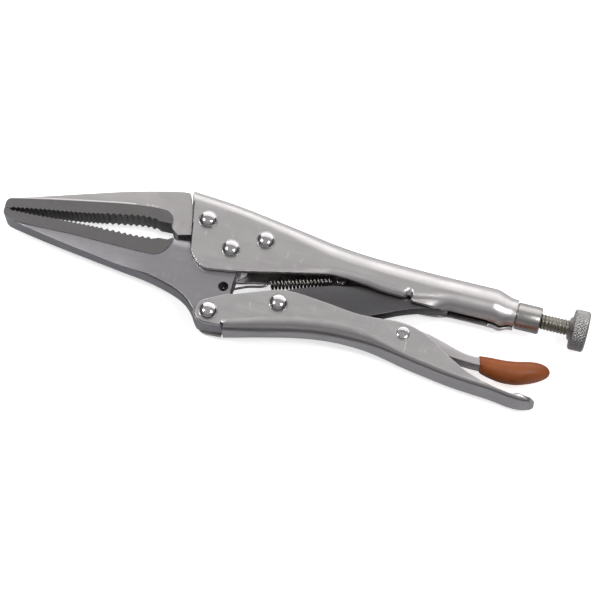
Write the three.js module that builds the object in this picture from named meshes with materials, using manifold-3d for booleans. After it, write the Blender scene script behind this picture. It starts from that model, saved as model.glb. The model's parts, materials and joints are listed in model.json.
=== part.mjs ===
// Long-nose locking pliers, closed and locked, lying on one side. Millimetres, +Z up.
//
// Design frame: origin on the jaw pivot at mid-thickness, +X along the adjusting screw
// towards its knob, +Y towards the fixed jaw's side, +Z across the tool's thickness.
// The finished group is shifted so that the middle of its footprint is at the origin.
import * as THREE from 'three';
import { mergeVertices } from 'three/addons/utils/BufferGeometryUtils.js';
import Module from 'manifold-3d';

const wasm = await Module();
wasm.setup();

// ---- Driving dimensions -------------------------------------------------------------
const HANDLE_WIDTH = 14; // outside, across both walls
const SHEET = 1.7; // handle sheet metal
const JAW_THICKNESS = 10.2;
const LINK_THICKNESS = 6;
const LEVER_THICKNESS = 7.2;
const GAP = 0.3; // running clearance round every pin and between neighbours

const RIVET_SHANK_RADIUS = 2.2;
const RIVET_HEAD_RADIUS = 3.6;
const RIVET_HEAD_HEIGHT = 2.5;
const LEVER_PIN_SHANK_RADIUS = 1.5;
const LEVER_PIN_HEAD_RADIUS = 2.5;
const LEVER_PIN_HEAD_HEIGHT = 0.9;

const SCREW_Y = 3.5; // height of the screw's axis over the jaw pivot
const SCREW_RADIUS = 3;
const SCREW_TIP_X = 88;
const NUT_RADIUS = 5.1;
const NUT_NECK_RADIUS = 4.3;
const NUT_NECK_START_X = 97;
const NUT_START_X = 110;
const NUT_END_X = 119.2;
const KNOB_START_X = 130;
const KNOB_END_X = 137;
const KNOB_RADIUS = 7.75;

const TUBE_RADIUS = 7; // rear half of the upper handle
const TUBE_END_RADIUS = 5.9; // swaged onto the nut's neck
const TUBE_END_SHEET = 1.3;
const TUBE_END_X = 109.7;

const SPRING_WIRE_RADIUS = 0.42;
const SPRING_COIL_RADIUS = 1.75; // to the wire's centre
const SPRING_TURNS = 17;

const JAW_PIVOT = new THREE.Vector2(0, 0);
const HANDLE_PIVOT = new THREE.Vector2(-1.7, -26.2);
const LINK_PIVOT = new THREE.Vector2(22.9, -16.7);
const LEVER_PIVOT = new THREE.Vector2(70.7, -16.7);
const FRONT_RIVET = new THREE.Vector2(-11.5, 9.3);
const REAR_RIVET = new THREE.Vector2(11.9, 6.5);
const SPRING_HOLE = new THREE.Vector2(0.9, -14.7);
const SPRING_HOLE_RADIUS = 2;
const SPRING_TAB_HOLE = new THREE.Vector2(42.6, 0.8);
const SPRING_TAB_HOLE_RADIUS = 1.3;
const SPRING_SLOT_HALF_WIDTH = 1.2;

const HALF_WIDTH = HANDLE_WIDTH / 2;
const HALF_JAW = JAW_THICKNESS / 2;
const INNER_HALF_WIDTH = HALF_WIDTH - SHEET;
const BEYOND = 20; // how far cutting bodies run past what they cut

const COLOURS = {
  satin_nickel: { color: 0xb4b0ae, roughness: 0.38, metalness: 0.9 },
  jaw_steel: { color: 0x9c9a98, roughness: 0.42, metalness: 0.9 },
  bright_steel: { color: 0xc8c6c4, roughness: 0.18, metalness: 1.0 },
  dark_steel: { color: 0x55534f, roughness: 0.5, metalness: 0.85 },
  screw_steel: { color: 0x7d7b6c, roughness: 0.45, metalness: 0.85 },
  orange_vinyl: { color: 0xb0481a, roughness: 0.45, metalness: 0.0 },
};

// ---- Geometry helpers ---------------------------------------------------------------
const { lerp, smoothstep, degToRad } = THREE.MathUtils;
const point = (x, y) => new THREE.Vector2(x, y);
const points = (...pairs) => pairs.map(([x, y]) => point(x, y));

// A smooth run of outline through hand-set points.
function smooth(pairs, divisions) {
  return new THREE.SplineCurve(points(...pairs)).getPoints(divisions);
}

// Part of a circle as outline points, angles in degrees.
function arc(centre, radius, from, to, steps) {
  const run = [];
  for (let i = 0; i <= steps; i += 1) {
    const angle = degToRad(lerp(from, to, i / steps));
    run.push(point(centre.x + radius * Math.cos(angle), centre.y + radius * Math.sin(angle)));
  }
  return run;
}

// A flat plate with the given outline, from z0 up to z1.
function plate(outline, z0, z1) {
  const settings = { depth: z1 - z0, bevelEnabled: false };
  const geometry = new THREE.ExtrudeGeometry(new THREE.Shape(outline), settings);
  return geometry.translate(0, 0, z0);
}

// A round bar along Z.
function barZ(centre, radius, z0, z1, sides = 24) {
  const geometry = new THREE.CylinderGeometry(radius, radius, z1 - z0, sides);
  geometry.rotateX(Math.PI / 2);
  return geometry.translate(centre.x, centre.y, (z0 + z1) / 2);
}

// A body of revolution about the screw's axis; its profile is (radius, x) pairs.
function turnedOnScrewAxis(profile, sides) {
  const geometry = new THREE.LatheGeometry(points(...profile), sides);
  geometry.rotateZ(-Math.PI / 2);
  return geometry.translate(0, SCREW_Y, 0);
}

// A closed body through a row of rings, each a closed loop of Vector3 with the same count.
function loft(loops, flat) {
  const clockwise = THREE.ShapeUtils.isClockWise(loops[0].map(flat));
  const rings = clockwise ? loops.map((ring) => [...ring].reverse()) : loops;
  const count = rings[0].length;
  const positions = rings.flat().flatMap((p) => [p.x, p.y, p.z]);
  const indices = [];
  for (let i = 0; i < rings.length - 1; i += 1) {
    for (let j = 0; j < count; j += 1) {
      const a = i * count + j;
      const b = i * count + ((j + 1) % count);
      indices.push(a, b, a + count, b, b + count, a + count);
    }
  }
  const cap = THREE.ShapeUtils.triangulateShape(rings[0].map(flat), []);
  const last = (rings.length - 1) * count;
  cap.forEach(([a, b, c]) => indices.push(a, c, b, last + a, last + b, last + c));
  const geometry = new THREE.BufferGeometry();
  geometry.setAttribute('position', new THREE.Float32BufferAttribute(positions, 3));
  geometry.setIndex(indices);
  return geometry;
}

// ---- Booleans -----------------------------------------------------------------------
function solid(geometry) {
  const bare = geometry.clone();
  bare.deleteAttribute('normal');
  bare.deleteAttribute('uv');
  const merged = mergeVertices(bare, 1e-4);
  const vertProperties = merged.attributes.position.array;
  const triVerts = new Uint32Array(merged.index.array);
  const made = new wasm.Manifold(new wasm.Mesh({ numProp: 3, vertProperties, triVerts }));
  return made.volume() < 0 ? solid(turnedInsideOut(merged)) : made;
}

function turnedInsideOut(geometry) {
  const turned = geometry.clone();
  const index = turned.index.array;
  for (let i = 0; i < index.length; i += 3) {
    [index[i + 1], index[i + 2]] = [index[i + 2], index[i + 1]];
  }
  return turned;
}

function shell(body) {
  const mesh = body.getMesh();
  const geometry = new THREE.BufferGeometry();
  geometry.setAttribute('position', new THREE.BufferAttribute(mesh.vertProperties, 3));
  geometry.setIndex(new THREE.BufferAttribute(mesh.triVerts, 1));
  return geometry;
}

const join = (bodies) => bodies.reduce((whole, body) => whole.add(body));
const cut = (body, tools) => tools.reduce((rest, tool) => rest.subtract(tool), body);

// Through holes along Z, each a clearance larger than its pin.
function pinHoles(centres, pinRadius) {
  return centres.map((c) => solid(barZ(c, pinRadius + GAP, -BEYOND, BEYOND)));
}

// ---- Sheet metal sections -----------------------------------------------------------
// The upper handle's outline across the tool at one x: an arched top, two straight walls
// at the front, and walls curled round into a slotted tube at the rear.
const UPPER_TOP_LINE = smooth(
  [[-22, 20.9], [-4, 19.3], [12, 17], [25, 14.8], [38, 12.6], [50, 11.3], [64, 10.8],
    [78, 10.5], [90, 10.5], [100, 10.5]], 22);
const UPPER_WALL_FOOT_Y = -13;
const TUBE_LIP_DEG = 66; // how far below level each wall curls
const TUBE_SLOT_HALF_WIDTH = LINK_THICKNESS / 2 + GAP;
const TUBE_CURL_START_X = 66;
const TUBE_CURL_END_X = 86;
const SWAGE_START_X = 100.5;
const CORNER_STEPS = 4;
const WALL_STEPS = 5;

const curl = (x) => smoothstep(x, TUBE_CURL_START_X, TUBE_CURL_END_X);
const swage = (x) => smoothstep(x, SWAGE_START_X, TUBE_END_X - 1);
const lobe = (x) => Math.sin(Math.PI * smoothstep(x, 100, TUBE_END_X)) ** 2;

function topBendRadius(x) {
  const front = lerp(4.2, 5.3, smoothstep(x, -20, 50));
  return lerp(front, TUBE_RADIUS, smoothstep(x, 50, 76));
}

// Half of the section, from the wall's foot up to the middle of the top, inset by a depth.
function upperHalfSection(x, top, inset) {
  const tubeRadius = lerp(TUBE_RADIUS, TUBE_END_RADIUS, swage(x));
  const bend = Math.min(topBendRadius(x), tubeRadius);
  const half = tubeRadius - inset;
  const centreY = top - bend;
  const run = [];
  for (let i = WALL_STEPS; i > 0; i -= 1) {
    const t = i / WALL_STEPS;
    const angle = degToRad(-TUBE_LIP_DEG * t);
    const wall = point(half, lerp(centreY, UPPER_WALL_FOOT_Y, t));
    const tube = point(half * Math.cos(angle), centreY + half * Math.sin(angle) - lobe(x) * t * t);
    run.push(wall.lerp(tube, curl(x)));
  }
  const corner = point(tubeRadius - bend, centreY);
  run.push(...arc(corner, bend - inset, 0, 90, CORNER_STEPS));
  return run;
}

// The whole closed section: up the outside, over, down, and back along the inside.
function sheetRing(x, half, outerInset, innerInset) {
  const mirrored = (run) => run.map((p) => point(-p.x, p.y)).reverse();
  const outer = half(outerInset);
  const inner = half(innerInset);
  const loop = [...outer, ...mirrored(outer), ...inner.concat(mirrored(inner)).reverse()];
  return loop.map((p) => new THREE.Vector3(x, p.y, p.x));
}

function upperHandleSheet() {
  const stations = UPPER_TOP_LINE.map((p) => [p.x, p.y]);
  for (const x of [102, 104, 105.5, 107, 108.5, TUBE_END_X]) {
    const radius = lerp(TUBE_RADIUS, TUBE_END_RADIUS, swage(x));
    stations.push([x, SCREW_Y + radius]);
  }
  const rings = stations.map(([x, top]) => {
    const sheet = lerp(SHEET, TUBE_END_SHEET, swage(x));
    return sheetRing(x, (inset) => upperHalfSection(x, top, inset), 0, sheet);
  });
  return loft(rings, (p) => point(p.z, p.y));
}

// What is left of the sheet in side view: slanted front edge, rounded front corner, lower
// edge running back to a small hooked notch, and everything of the tube behind it.
function upperHandleOutline() {
  return [
    point(-21.1, 24),
    point(-15.6, 1),
    ...arc(point(-5.2, 0.2), 10.3, 190, 258, 8),
    ...smooth([[4.6, -8.2], [20, -4.6], [35, -1.2], [40, -0.4], [50, -0.6], [60, -1.8], [66.6, -2.1]], 14),
    point(68.1, -1.3),
    point(68.4, 0.4),
    point(69.6, 0.9),
    point(70.4, -0.2),
    point(70.8, -3.1),
    point(96, -3.3),
    point(99, -6),
    point(120, -6),
    point(120, 24),
  ];
}

// A tab lanced down from the handle's top, with the hole that the spring's rear end hooks.
function springTab() {
  const outline = points([40.4, 11.2], [40.9, 0.4], [41.6, -0.9], [43.6, -0.9], [44.9, 0.6], [46.2, 10.6]);
  return solid(plate(outline, -SHEET / 2, SHEET / 2));
}

// The slot under the tube that the toggle link swings in.
function tubeSlot() {
  const outline = points([62, -9], [100.5, -9], [100.5, 0], [62, 0]);
  return solid(plate(outline, -TUBE_SLOT_HALF_WIDTH, TUBE_SLOT_HALF_WIDTH));
}

function upperHandle() {
  const outline = solid(plate(upperHandleOutline(), -BEYOND, BEYOND));
  const holes = [
    ...pinHoles([JAW_PIVOT, FRONT_RIVET, REAR_RIVET], RIVET_SHANK_RADIUS),
    solid(barZ(SPRING_TAB_HOLE, SPRING_TAB_HOLE_RADIUS, -SHEET, SHEET, 12)),
    tubeSlot(),
  ];
  return shell(cut(join([solid(upperHandleSheet()).intersect(outline), springTab()]), holes));
}

// ---- Lower handle -------------------------------------------------------------------
const LOWER_BOTTOM_LINE = smooth(
  [[4.8, -31.6], [18, -28], [30, -24.9], [40, -23.1], [50, -22.6], [62, -23.6], [78, -27],
    [92, -28.9], [106, -30.7], [115, -31.9], [124, -31.8]], 20);
const LOWER_BEND_RADIUS = 3.4;
const LOWER_WALL_HEIGHT = 16;
const EAR_RADIUS = 4.9;

function lowerHalfSection(bottom, inset) {
  const half = HALF_WIDTH - inset;
  const corner = point(HALF_WIDTH - LOWER_BEND_RADIUS, bottom + LOWER_BEND_RADIUS);
  return [
    point(half, bottom + LOWER_WALL_HEIGHT),
    ...arc(corner, LOWER_BEND_RADIUS - inset, 0, -90, CORNER_STEPS),
  ];
}

function lowerHandleSheet() {
  const rings = LOWER_BOTTOM_LINE.map(
    ({ x, y }) => sheetRing(x, (inset) => lowerHalfSection(y, inset), 0, SHEET));
  return loft(rings, (p) => point(p.z, p.y));
}

// Side view of the channel: hump at the link rivet, shallow top edge back to the lever,
// then a long slant down to the tongue that the fingers rest on.
function lowerHandleOutline() {
  return [
    ...smooth([[4.8, -17.7], [12, -15], [20.6, -11.8], [25.5, -11], [31.5, -11.2], [42, -12.3],
      [52, -13.4], [60, -13.2], [67, -12.6], [73, -13.1], [78, -14.5]], 20),
    ...smooth([[83, -17.1], [91.2, -22.4], [96.5, -25], [102, -27], [108, -28.4], [116, -28.9]], 8),
    point(126, -28.9),
    point(126, -36),
    point(4.8, -36),
  ];
}

// The tongue's end seen from below, rounded.
function tonguePlan() {
  const round = 5.5;
  const outline = [
    point(0, -HANDLE_WIDTH),
    ...arc(point(123.8 - round, -HALF_WIDTH + round), round, -90, 0, 6),
    ...arc(point(123.8 - round, HALF_WIDTH - round), round, 0, 90, 6),
    point(0, HANDLE_WIDTH),
  ];
  return solid(plate(outline, 10, 40).rotateX(Math.PI / 2));
}

// The two ears that carry the hinge rivet in front of the channel.
function ear(side) {
  const inner = side * INNER_HALF_WIDTH;
  const outer = side * HALF_WIDTH;
  const outline = [
    ...arc(HANDLE_PIVOT, EAR_RADIUS, 114, 270, 14),
    point(4.8, -31),
    point(4.8, -27.8),
    point(10, -26.4),
    point(10, -15.7),
    point(4.8, -17.7),
  ];
  return solid(plate(outline, Math.min(inner, outer), Math.max(inner, outer)));
}

function lowerHandle() {
  const outline = solid(plate(lowerHandleOutline(), -BEYOND, BEYOND));
  const channel = solid(lowerHandleSheet()).intersect(outline).intersect(tonguePlan());
  const holes = [
    ...pinHoles([HANDLE_PIVOT, LINK_PIVOT], RIVET_SHANK_RADIUS),
    ...pinHoles([LEVER_PIVOT], LEVER_PIN_SHANK_RADIUS),
  ];
  return shell(cut(join([channel, ear(1), ear(-1)]), holes));
}

// ---- Jaws ---------------------------------------------------------------------------
const JAW_HUB_RADIUS = 8.5;
const LEAF_ROOT_X = -23;
const LEAF_TIP_X = -88;
const LEAF_TIP_Z = 4.43; // half thickness at the nose; HALF_JAW at the leaf's root
const LEAF_STEP = 0.35; // how far the toothed leaf stands proud of the jaw round it
const COARSE_TEETH = { pitch: 2.3, depth: 0.7 };
const FINE_TEETH = { pitch: 1.7, depth: 0.45 };
const COARSE_TEETH_FRONT_X = -52;

// Teeth cut along a line from one end to the other, biting towards the given side.
function teeth(line, side) {
  const curve = new THREE.SplineCurve(points(...line));
  const length = curve.getLength();
  const run = [];
  let along = 0;
  while (along < length - FINE_TEETH.pitch) {
    const tip = curve.getPointAt(along / length);
    const { pitch, depth } = tip.x > COARSE_TEETH_FRONT_X ? COARSE_TEETH : FINE_TEETH;
    const root = curve.getPointAt((along + pitch / 2) / length);
    run.push(tip, point(root.x, root.y + side * depth));
    along += pitch;
  }
  run.push(curve.getPointAt(1));
  return run;
}

// A cutter over one face of a jaw, from a height at the leaf's root, lower towards the nose.
function taperedCutter(outline, rootZ, side) {
  const taper = Math.atan2(HALF_JAW - LEAF_TIP_Z, LEAF_ROOT_X - LEAF_TIP_X);
  const geometry = plate(outline, 0, BEYOND).translate(-LEAF_ROOT_X, 0, 0);
  geometry.rotateY(-taper).translate(LEAF_ROOT_X, 0, rootZ);
  return side > 0 ? solid(geometry) : solid(geometry.rotateX(Math.PI).scale(1, -1, 1));
}

// Cutters that thin both faces of a jaw to the nose, and lower them round the leaf.
function faceCutters(aroundLeaf) {
  const whole = points([-94, -40], [LEAF_ROOT_X, -40], [LEAF_ROOT_X, 40], [-94, 40]);
  const lowered = HALF_JAW - LEAF_STEP;
  return [1, -1].flatMap((side) => [
    taperedCutter(whole, HALF_JAW, side),
    taperedCutter(aroundLeaf, lowered, side),
    solid(side > 0 ? plate(aroundLeaf, lowered, BEYOND) : plate(aroundLeaf, -BEYOND, -lowered)),
  ]);
}

function fixedJawOutline() {
  return [
    ...smooth([[-23.6, 18.9], [-33, 16.7], [-44.6, 13.5], [-58.4, 9.2], [-75.8, 3.6], [-85, 0.8]], 14),
    point(-87.3, -0.2),
    point(-88.5, -1.8),
    point(-88.4, -3.7),
    ...teeth([[-86, -3.9], [-74.4, -1.8], [-61, 0.3], [-52, 2], [-44.7, 3.4], [-36, 4.9], [-29.5, 4.8]], 1),
    point(-25, 5),
    point(-24.2, 3.4),
    point(-21.4, 1.7),
    point(-17, 2.8),
    ...arc(JAW_PIVOT, JAW_HUB_RADIUS + GAP + 0.2, 143, 10, 14),
    point(17.5, 1.6),
    point(17.5, 12.4),
    point(-20.4, 16.6),
    point(-20.9, 18.5),
    point(-21.6, 19),
  ];
}

function aroundFixedLeaf() {
  return [
    ...smooth([[-92, -1.3], [-83.5, 0.7], [-70, 3.6], [-57.6, 6], [-46, 8.2], [-35, 9.7], [-29.8, 9.9]], 12),
    ...arc(point(-29, 5.2), 4.7, 84, 0, 5),
    point(-24.3, -12),
    point(-19.5, -12),
    point(-19.5, 40),
    point(-92, 40),
  ];
}

function fixedJaw() {
  const blank = solid(plate(fixedJawOutline(), -HALF_JAW, HALF_JAW));
  const holes = pinHoles([FRONT_RIVET, REAR_RIVET], RIVET_SHANK_RADIUS);
  return shell(cut(blank, [...faceCutters(aroundFixedLeaf()), ...holes]));
}

function lowerJawOutline() {
  return [
    point(-88.3, -4.5),
    ...teeth([[-86, -4.5], [-78, -4.3], [-66, -3.7], [-56, -3.3], [-46, -3], [-37, -2.8], [-28, -1.9]], -1),
    point(-24.6, -1.7),
    point(-22.4, -0.2),
    point(-16.4, 0.3),
    ...arc(JAW_PIVOT, JAW_HUB_RADIUS, 176, -61, 20),
    ...smooth([[4.1, -9.5], [3.9, -13.5], [4.2, -20], [4.5, -28]], 6),
    point(3.6, -29.9),
    point(-4.2, -30.6),
    ...smooth([[-6.3, -29.4], [-9.6, -25.1], [-13.5, -22], [-19.5, -19.5], [-30, -17], [-43.4, -15.2],
      [-66.8, -11.8], [-83.4, -8.9]], 20),
    point(-86.4, -7.6),
  ];
}

function aroundLowerLeaf() {
  return [
    point(-92, -50),
    point(-92, -9.2),
    ...smooth([[-84.5, -8.8], [-74.3, -8.7], [-61, -8.4], [-48, -8.6], [-36, -8.8], [-28.5, -8.7]], 9),
    point(-25.6, -7.4),
    point(-23.8, -5),
    point(-22.7, -2),
    point(-22.5, 12),
    point(40, 12),
    point(40, -50),
  ];
}

// The shoulder behind the leaf is chamfered where it passes under the fixed jaw.
function shoulderChamfer(side) {
  const section = points([HALF_JAW + 0.2, -5], [HALF_JAW - 2, 0.6], [HALF_JAW - 2, 6], [BEYOND, 6], [BEYOND, -5]);
  return solid(plate(section, 9, 24).rotateY(-Math.PI / 2).scale(1, 1, side));
}

function springSlot() {
  const length = 8;
  const box = new THREE.BoxGeometry(length, 3, 2 * SPRING_SLOT_HALF_WIDTH);
  return box.translate(SPRING_HOLE.x + length / 2, SPRING_HOLE.y + 0.6, 0);
}

function lowerJaw() {
  const blank = solid(plate(lowerJawOutline(), -HALF_JAW, HALF_JAW));
  const chamfers = [1, -1].map(shoulderChamfer);
  const holes = [
    ...pinHoles([JAW_PIVOT, HANDLE_PIVOT], RIVET_SHANK_RADIUS),
    ...pinHoles([SPRING_HOLE], SPRING_HOLE_RADIUS - GAP),
    solid(springSlot()),
  ];
  return shell(cut(blank, [...faceCutters(aroundLowerLeaf()), ...chamfers, ...holes]));
}

// ---- Toggle link --------------------------------------------------------------------
const LINK_END_RADIUS = 6;
const LINK_TIP = point(82.8, SCREW_Y - 0.2);
const LINK_TIP_RADIUS = 2.8;

function toggleLink() {
  const outline = [
    ...arc(LINK_PIVOT, LINK_END_RADIUS, 115, 290, 16),
    ...smooth([[36, -18], [50, -14.3], [60, -10.3], [68, -6.5], [75.5, -3.9], [82, -2.6]], 10),
    point(84.6, -1.4),
    ...arc(LINK_TIP, LINK_TIP_RADIUS, 0, 100, 6),
    ...smooth([[76, 5.3], [62, 2.4], [48, -2.9], [34, -7.9]], 8),
  ];
  const bar = solid(plate(outline, -LINK_THICKNESS / 2, LINK_THICKNESS / 2));
  return shell(cut(bar, pinHoles([LINK_PIVOT], RIVET_SHANK_RADIUS)));
}

// ---- Release lever ------------------------------------------------------------------
const GRIP_FRONT_X = 101.5;
const GRIP_END_X = 126.6;
const GRIP_HALF_WIDTH = 4.9;

function releaseLever() {
  const half = LEVER_THICKNESS / 2;
  const outline = [
    ...smooth([[58.5, -15.2], [64, -13.7], [70.7, -13.2], [78.3, -13.1], [86.5, -15.1], [91.3, -16.6],
      [96, -17.5], [101, -17.6]], 14),
    ...smooth([[112, -17.4], [122.5, -16.9]], 2),
    ...arc(point(122.5, -18.4), 1.5, 80, -80, 5),
    ...smooth([[113, -20.3], [101, -20.9], [92, -20.3], [84, -19.6], [77, -20.2], [70.7, -20.4],
      [64, -18.8], [58.5, -16.8]], 14),
  ];
  const bar = solid(plate(outline, -half, half));
  return shell(cut(bar, pinHoles([LEVER_PIVOT], LEVER_PIN_SHANK_RADIUS)));
}

// Half-depth of the dipped grip over the lever, top and bottom, at a fraction of its length.
function gripRing(t) {
  const x = lerp(GRIP_FRONT_X, GRIP_END_X, t);
  const fullness = Math.sqrt(Math.max(0, 1 - t ** 7));
  const middle = lerp(-19.3, -18.2, t * t);
  const depth = lerp(2.6, 3.5, Math.sin(Math.PI * Math.min(1, 0.12 + t * 0.8))) * fullness;
  const width = lerp(4.1, GRIP_HALF_WIDTH, Math.sin((Math.PI / 2) * Math.min(1, 0.3 + t))) * fullness;
  const ring = [];
  for (let i = 0; i < 24; i += 1) {
    const angle = (2 * Math.PI * i) / 24;
    const round = (v) => Math.sign(v) * Math.abs(v) ** 0.72;
    const y = middle + depth * round(Math.sin(angle));
    ring.push(new THREE.Vector3(x, y, width * round(Math.cos(angle))));
  }
  return ring;
}

function leverGrip() {
  const stations = [0, 0.08, 0.2, 0.35, 0.5, 0.65, 0.78, 0.87, 0.93, 0.97, 0.99, 0.999];
  const outside = solid(loft(stations.map(gripRing), (p) => point(p.z, p.y)));
  const half = LEVER_THICKNESS / 2 + 0.25;
  const core = [
    ...points([95, -17.2], [101, -17.3], [112, -17.1], [122.6, -16.6]),
    ...arc(point(122.5, -18.4), 1.8, 70, -70, 5),
    ...points([113, -20.6], [101, -21.2], [95, -20.9]),
  ];
  return shell(outside.subtract(solid(plate(core, -half, half))));
}

// ---- Screw, nut and knob ------------------------------------------------------------
function adjusterNut() {
  const bore = SCREW_RADIUS + GAP;
  return turnedOnScrewAxis([
    [bore, NUT_NECK_START_X],
    [NUT_NECK_RADIUS, NUT_NECK_START_X],
    [NUT_NECK_RADIUS, NUT_START_X],
    [NUT_RADIUS - 0.4, NUT_START_X],
    [NUT_RADIUS, NUT_START_X + 0.5],
    [NUT_RADIUS, NUT_END_X - 0.5],
    [NUT_RADIUS - 0.5, NUT_END_X],
    [bore + 0.5, NUT_END_X],
    [bore, NUT_END_X - 0.5],
    [bore, NUT_NECK_START_X],
  ], 28);
}

function adjustingScrew() {
  const end = KNOB_START_X - 0.2;
  return turnedOnScrewAxis([
    [0, SCREW_TIP_X],
    [1.2, SCREW_TIP_X + 0.2],
    [2.2, SCREW_TIP_X + 0.9],
    [SCREW_RADIUS, SCREW_TIP_X + 2.2],
    [SCREW_RADIUS, end],
    [0, end],
  ], 20);
}

function adjustingKnob() {
  return turnedOnScrewAxis([
    [0, KNOB_START_X],
    [3.9, KNOB_START_X],
    [4.6, KNOB_START_X + 0.9],
    [KNOB_RADIUS - 0.7, KNOB_START_X + 1.1],
    [KNOB_RADIUS, KNOB_START_X + 1.8],
    [KNOB_RADIUS, KNOB_END_X - 0.7],
    [KNOB_RADIUS - 0.7, KNOB_END_X],
    [0, KNOB_END_X],
  ], 32);
}

// ---- Rivets, lever pin and spring ---------------------------------------------------
// A rivet through the tool with a domed head on each side.
const DOME_STEPS = 4;

function domedRivet(centre, shankRadius, headRadius, headHeight) {
  const seat = HALF_WIDTH + 0.1;
  const dome = [];
  for (let i = 0; i <= DOME_STEPS; i += 1) {
    const angle = (Math.PI / 2) * (i / DOME_STEPS);
    dome.push([headRadius * Math.cos(angle), seat + 0.4 + (headHeight - 0.4) * Math.sin(angle)]);
  }
  dome[DOME_STEPS][0] = 0;
  const upper = [[shankRadius, seat], [headRadius, seat], ...dome];
  const lower = upper.map(([r, z]) => [r, -z]).reverse();
  const geometry = new THREE.LatheGeometry(points(...lower, ...upper), 18);
  return geometry.rotateX(Math.PI / 2).translate(centre.x, centre.y, 0);
}

const rivetAt = (centre) => domedRivet(centre, RIVET_SHANK_RADIUS, RIVET_HEAD_RADIUS, RIVET_HEAD_HEIGHT);

const STEPS_PER_TURN = 8;

// A coil with a straight arm at each end; each arm turns down through its hole.
function springCurve() {
  const front = new THREE.Vector3(17.2, -7.5, 0);
  const rear = new THREE.Vector3(39.4, -0.5, 0);
  const axis = rear.clone().sub(front).normalize();
  const side = new THREE.Vector3(-axis.y, axis.x, 0);
  const path = [
    new THREE.Vector3(SPRING_HOLE.x, SPRING_HOLE.y, 3.4),
    new THREE.Vector3(SPRING_HOLE.x, SPRING_HOLE.y, 1.2),
    new THREE.Vector3(SPRING_HOLE.x + 0.9, SPRING_HOLE.y + 0.4, 0.1),
    new THREE.Vector3(9, -10.9, 0),
    new THREE.Vector3(15.2, -8.2, 0),
  ];
  const steps = SPRING_TURNS * STEPS_PER_TURN;
  for (let i = 0; i <= steps; i += 1) {
    const angle = (2 * Math.PI * SPRING_TURNS * i) / steps;
    path.push(front.clone().lerp(rear, i / steps)
      .addScaledVector(side, SPRING_COIL_RADIUS * Math.cos(angle))
      .addScaledVector(new THREE.Vector3(0, 0, 1), SPRING_COIL_RADIUS * Math.sin(angle)));
  }
  path.push(new THREE.Vector3(41, 0.6, 2));
  path.push(new THREE.Vector3(SPRING_TAB_HOLE.x, SPRING_TAB_HOLE.y, 1));
  path.push(new THREE.Vector3(SPRING_TAB_HOLE.x, SPRING_TAB_HOLE.y, -2));
  return new THREE.CatmullRomCurve3(path);
}

function tensionSpring() {
  const ring = new THREE.Shape();
  ring.absarc(0, 0, SPRING_WIRE_RADIUS, 0, 2 * Math.PI);
  const steps = SPRING_TURNS * STEPS_PER_TURN + 18;
  const settings = { steps, extrudePath: springCurve(), curveSegments: 3 };
  return new THREE.ExtrudeGeometry(ring, settings);
}

// ---- Assembly -----------------------------------------------------------------------
const group = new THREE.Group();

function add(name, geometry, finish) {
  const mesh = new THREE.Mesh(geometry, new THREE.MeshStandardMaterial(COLOURS[finish]));
  mesh.name = name;
  group.add(mesh);
}

add('upper_handle', upperHandle(), 'satin_nickel');
add('fixed_jaw', fixedJaw(), 'jaw_steel');
add('fixed_jaw_front_rivet', rivetAt(FRONT_RIVET), 'bright_steel');
add('fixed_jaw_rear_rivet', rivetAt(REAR_RIVET), 'bright_steel');
add('jaw_pivot_rivet', rivetAt(JAW_PIVOT), 'bright_steel');
add('lower_jaw', lowerJaw(), 'jaw_steel');
add('lower_handle', lowerHandle(), 'satin_nickel');
add('handle_hinge_rivet', rivetAt(HANDLE_PIVOT), 'bright_steel');
add('link_rivet', rivetAt(LINK_PIVOT), 'bright_steel');
add('toggle_link', toggleLink(), 'dark_steel');
add('release_lever', releaseLever(), 'satin_nickel');
add('release_lever_grip', leverGrip(), 'orange_vinyl');
add('lever_pin', domedRivet(LEVER_PIVOT, LEVER_PIN_SHANK_RADIUS, LEVER_PIN_HEAD_RADIUS,
  LEVER_PIN_HEAD_HEIGHT), 'bright_steel');
add('tension_spring', tensionSpring(), 'dark_steel');
add('adjuster_nut', adjusterNut(), 'bright_steel');
add('adjusting_screw', adjustingScrew(), 'screw_steel');
add('adjusting_knob', adjustingKnob(), 'jaw_steel');

const footprint = new THREE.Box3().setFromObject(group);
const middle = footprint.getCenter(new THREE.Vector3());
group.position.set(-middle.x, -middle.y, -footprint.min.z);

export default group;
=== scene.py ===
import json
import math

import bmesh
import bpy
import numpy as np
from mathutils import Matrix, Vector


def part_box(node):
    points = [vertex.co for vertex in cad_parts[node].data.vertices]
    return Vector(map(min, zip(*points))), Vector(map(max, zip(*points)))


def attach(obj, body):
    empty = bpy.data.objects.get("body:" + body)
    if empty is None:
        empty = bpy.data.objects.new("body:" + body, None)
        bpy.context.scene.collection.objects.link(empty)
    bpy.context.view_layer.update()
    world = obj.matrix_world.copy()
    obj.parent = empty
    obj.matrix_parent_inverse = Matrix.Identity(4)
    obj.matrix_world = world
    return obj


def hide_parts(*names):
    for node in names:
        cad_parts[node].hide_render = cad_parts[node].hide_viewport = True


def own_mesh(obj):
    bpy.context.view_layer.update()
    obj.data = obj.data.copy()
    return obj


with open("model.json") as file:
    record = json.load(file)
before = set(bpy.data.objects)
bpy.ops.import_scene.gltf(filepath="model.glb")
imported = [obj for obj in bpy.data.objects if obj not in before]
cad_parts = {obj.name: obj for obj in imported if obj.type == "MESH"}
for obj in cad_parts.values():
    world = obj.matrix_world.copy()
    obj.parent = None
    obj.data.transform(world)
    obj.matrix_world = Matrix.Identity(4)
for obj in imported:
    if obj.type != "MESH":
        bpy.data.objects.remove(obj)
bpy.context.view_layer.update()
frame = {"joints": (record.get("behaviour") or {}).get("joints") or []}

MM = 0.001
JOINTS = {joint["name"]: joint for joint in frame["joints"]}
ORIGIN = np.array(JOINTS["jaw_pivot"]["pos_m"])  # the shapes below are in mm from the jaw pivot


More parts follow.
